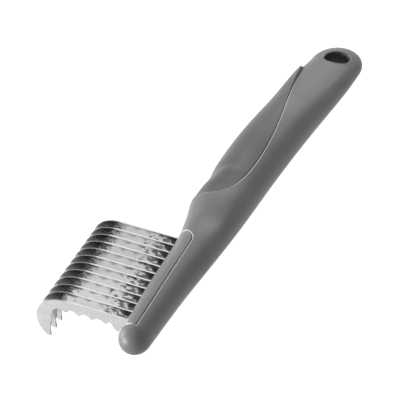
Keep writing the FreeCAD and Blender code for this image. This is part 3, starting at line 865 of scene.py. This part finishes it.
def noise(tree, place, scale, detail, stretch=(1.0, 1.0, 1.0)):
    """A noise value between 0 and 1; stretch squeezes it along each axis."""
    mapping = tree.nodes.new("ShaderNodeMapping")
    mapping.inputs["Scale"].default_value = stretch
    tree.links.new(place, mapping.inputs["Vector"])
    made = tree.nodes.new("ShaderNodeTexNoise")
    made.inputs["Scale"].default_value = scale
    made.inputs["Detail"].default_value = detail
    tree.links.new(mapping.outputs["Vector"], made.inputs["Vector"])
    return made.outputs["Fac"]


def spread(tree, value, low, high, start=0.0, end=1.0):
    """The value moved from start..end to low..high."""
    made = tree.nodes.new("ShaderNodeMapRange")
    tree.links.new(value, made.inputs["Value"])
    for label, number in zip(("From Min", "From Max", "To Min", "To Max"), (start, end, low, high)):
        made.inputs[label].default_value = number
    return made.outputs["Result"]


def vary(tree, pattern, low, high):
    """A noise pattern's value moved to low..high."""
    return spread(tree, pattern, low, high, NOISE_LOW, NOISE_HIGH)


def combine(tree, kind, first, second):
    """The result of one sum, such as MULTIPLY, on two values or plain numbers."""
    made = tree.nodes.new("ShaderNodeMath")
    made.operation = kind
    for socket, value in zip(made.inputs, (first, second)):
        if isinstance(value, (int, float)):
            socket.default_value = value
        else:
            tree.links.new(value, socket)
    return made.outputs["Value"]


def paint(tree, shader, value):
    """Gives the shader a grey of that value as its colour."""
    made = tree.nodes.new("ShaderNodeCombineColor")
    for channel in ("Red", "Green", "Blue"):
        tree.links.new(value, made.inputs[channel])
    tree.links.new(made.outputs["Color"], shader.inputs["Base Color"])


def bump(tree, shader, height, strength, distance):
    """Roughens the shader's surface by a pattern, with the distance in metres."""
    made = tree.nodes.new("ShaderNodeBump")
    made.inputs["Strength"].default_value = strength
    made.inputs["Distance"].default_value = distance
    tree.links.new(height, made.inputs["Height"])
    tree.links.new(made.outputs["Normal"], shader.inputs["Normal"])


def distance_from_hole(tree, place):
    """The distance from the hanging hole's axis, which is the frame's Z axis."""
    flat = tree.nodes.new("ShaderNodeVectorMath")
    flat.operation = "MULTIPLY"
    flat.inputs[1].default_value = (1.0, 1.0, 0.0)
    tree.links.new(place, flat.inputs[0])
    length = tree.nodes.new("ShaderNodeVectorMath")
    length.operation = "LENGTH"
    tree.links.new(flat.outputs["Vector"], length.inputs[0])
    return length.outputs["Value"]


def plastic(name, tone, roughness, gloss):
    """Moulded plastic with a fine spark-eroded grain and cloudy tone, painted highlights on edges,
    painted shade in the notch and painted shade in the hanging hole's bore.
    """
    material, tree, shader, place = new_material(name)
    cloud = noise(tree, place, *PLASTIC_CLOUD)
    colour = vary(tree, cloud, *(tone * share for share in PLASTIC_TONES))
    # Painted highlight on the edges, lighter tone from the attribute kept on each point.
    wear = tree.nodes.new("ShaderNodeAttribute")
    wear.attribute_name = "wear"
    highlight = spread(tree, wear.outputs["Fac"], 1.0, HIGHLIGHT_GAIN)
    colour = combine(tree, "MULTIPLY", colour, highlight)
    # Painted shade in the notch at the panel's side, where the attribute is below 0.
    notch_shade = spread(tree, wear.outputs["Fac"], NOTCH_SHADE_GAIN, 1.0, -1.0, 0.0)
    colour = combine(tree, "MULTIPLY", colour, notch_shade)
    # Painted shade inside the hanging hole's bore.
    away = distance_from_hole(tree, place)
    bore = spread(tree, away, BORE_SHADE_GAIN, 1.0, BORE_SHADE_FULL, BORE_SHADE_END)
    colour = combine(tree, "MULTIPLY", colour, bore)
    paint(tree, shader, colour)
    shader.inputs["Specular IOR Level"].default_value = gloss
    rub = noise(tree, place, *PLASTIC_RUB)
    sheen = vary(tree, rub, *(roughness + step for step in PLASTIC_SHEENS))
    tree.links.new(sheen, shader.inputs["Roughness"])
    bump(tree, shader, noise(tree, place, *PLASTIC_GRAIN), *GRAIN_BUMP)
    return material


def painted_dark_reflections(tree, place, ragged):
    """Painted dark reflections between the blades, at their bends and near their roots."""
    parts = tree.nodes.new("ShaderNodeSeparateXYZ")
    tree.links.new(place, parts.inputs[0])
    x, y, z = (parts.outputs[axis] for axis in "XYZ")
    shifted = combine(tree, "ADD", y, vary(tree, ragged, -BEND_RAGGED, BEND_RAGGED))
    bend = spread(tree, shifted, 0.0, BEND_DARK_REFLECTION, *BEND_Y)
    bend = combine(tree, "MULTIPLY", bend, spread(tree, z, 0.0, 1.0, *BEND_Z))
    root_end = spread(tree, ragged, *ROOT_REACH, *ROOT_NOISE)
    root = spread(tree, combine(tree, "SUBTRACT", root_end, y), 0.0, 1.0, 0.0, ROOT_FADE)
    dark_reflection = combine(tree, "MAXIMUM", bend, root)
    between = spread(tree, x, 0.0, 1.0, *BETWEEN_X)
    return combine(tree, "MULTIPLY", dark_reflection, between)


def steel(name, tone, roughness, dark_reflections_and_dull_edges=False):
    """Ground stainless sheet: fine streaks along the blade and cloudy polishing marks."""
    material, tree, shader, place = new_material(name)
    shader.inputs["Metallic"].default_value = 1.0
    streaks = noise(tree, place, *STEEL_STREAKS)
    cloud = noise(tree, place, *STEEL_CLOUD)
    colour = vary(tree, streaks, *(tone * share for share in STREAK_TONES))
    speckle = noise(tree, place, *STEEL_SPECKLE)
    colour = combine(tree, "MULTIPLY", colour, vary(tree, speckle, *SPECKLE_TONES))
    # Painted dark reflections on the faces between the blades, at their bends and near their roots,
    # and duller edges.
    if dark_reflections_and_dull_edges:
        shape = tree.nodes.new("ShaderNodeNewGeometry")
        sides = tree.nodes.new("ShaderNodeSeparateXYZ")
        tree.links.new(shape.outputs["Normal"], sides.inputs[0])
        sideways = combine(tree, "ABSOLUTE", sides.outputs["X"], 0.0)
        face = spread(tree, sideways, 0.0, 1.0, EDGE_NORMAL, FACE_NORMAL)
        ragged = noise(tree, place, *DARK_REFLECTION_PATTERN)
        dark_reflection = combine(tree, "MULTIPLY", painted_dark_reflections(tree, place, ragged), face)
        colour = combine(tree, "MULTIPLY", colour, spread(tree, dark_reflection, 1.0, DARK_REFLECTION_TONE))
        polish = spread(tree, face, EDGE_GAIN, 1.0)
        colour = combine(tree, "MULTIPLY", colour, polish)
    paint(tree, shader, colour)
    sheen = vary(tree, cloud, *(roughness * share for share in STEEL_SHEENS))
    tree.links.new(sheen, shader.inputs["Roughness"])
    bump(tree, shader, streaks, *STREAK_BUMP)
    return material


def use(piece, material):
    """Gives a new piece its material and fixes it to the body."""
    piece.data.materials.clear()
    piece.data.materials.append(material)
    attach(piece, "root")


def repaint(node, material):
    """Gives a CAD node its material; its mesh and place stay as they are."""
    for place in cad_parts[node].material_slots:
        place.material = material


# ---------------------------------------------------------------- the whole object

BODY_LOOK = plastic("body_plastic", tone=0.084, roughness=0.38, gloss=0.25)
PANEL_LOOK = plastic("panel_plastic", tone=0.056, roughness=0.38, gloss=0.2)
STRIP_LOOK = plastic("strip_plastic", tone=0.094, roughness=0.36, gloss=0.3)
BLADE_LOOK = steel("blade_steel", tone=0.51, roughness=0.15, dark_reflections_and_dull_edges=True)
FASTENER_LOOK = steel("fastener_steel", tone=0.5, roughness=0.35)

use(make_body(), BODY_LOOK)
use(make_panel(), PANEL_LOOK)
use(make_strip(), STRIP_LOOK)
BLADE_OUTLINE = blade_outline()
for blade_number in range(BLADE_COUNT):
    use(make_blade(blade_number, BLADE_OUTLINE), BLADE_LOOK)
repaint("blade_carrier", BODY_LOOK)
for fastener in ("blade_rod", "rod_push_nuts", "carrier_screws", "panel_screws"):
    repaint(fastener, FASTENER_LOOK)
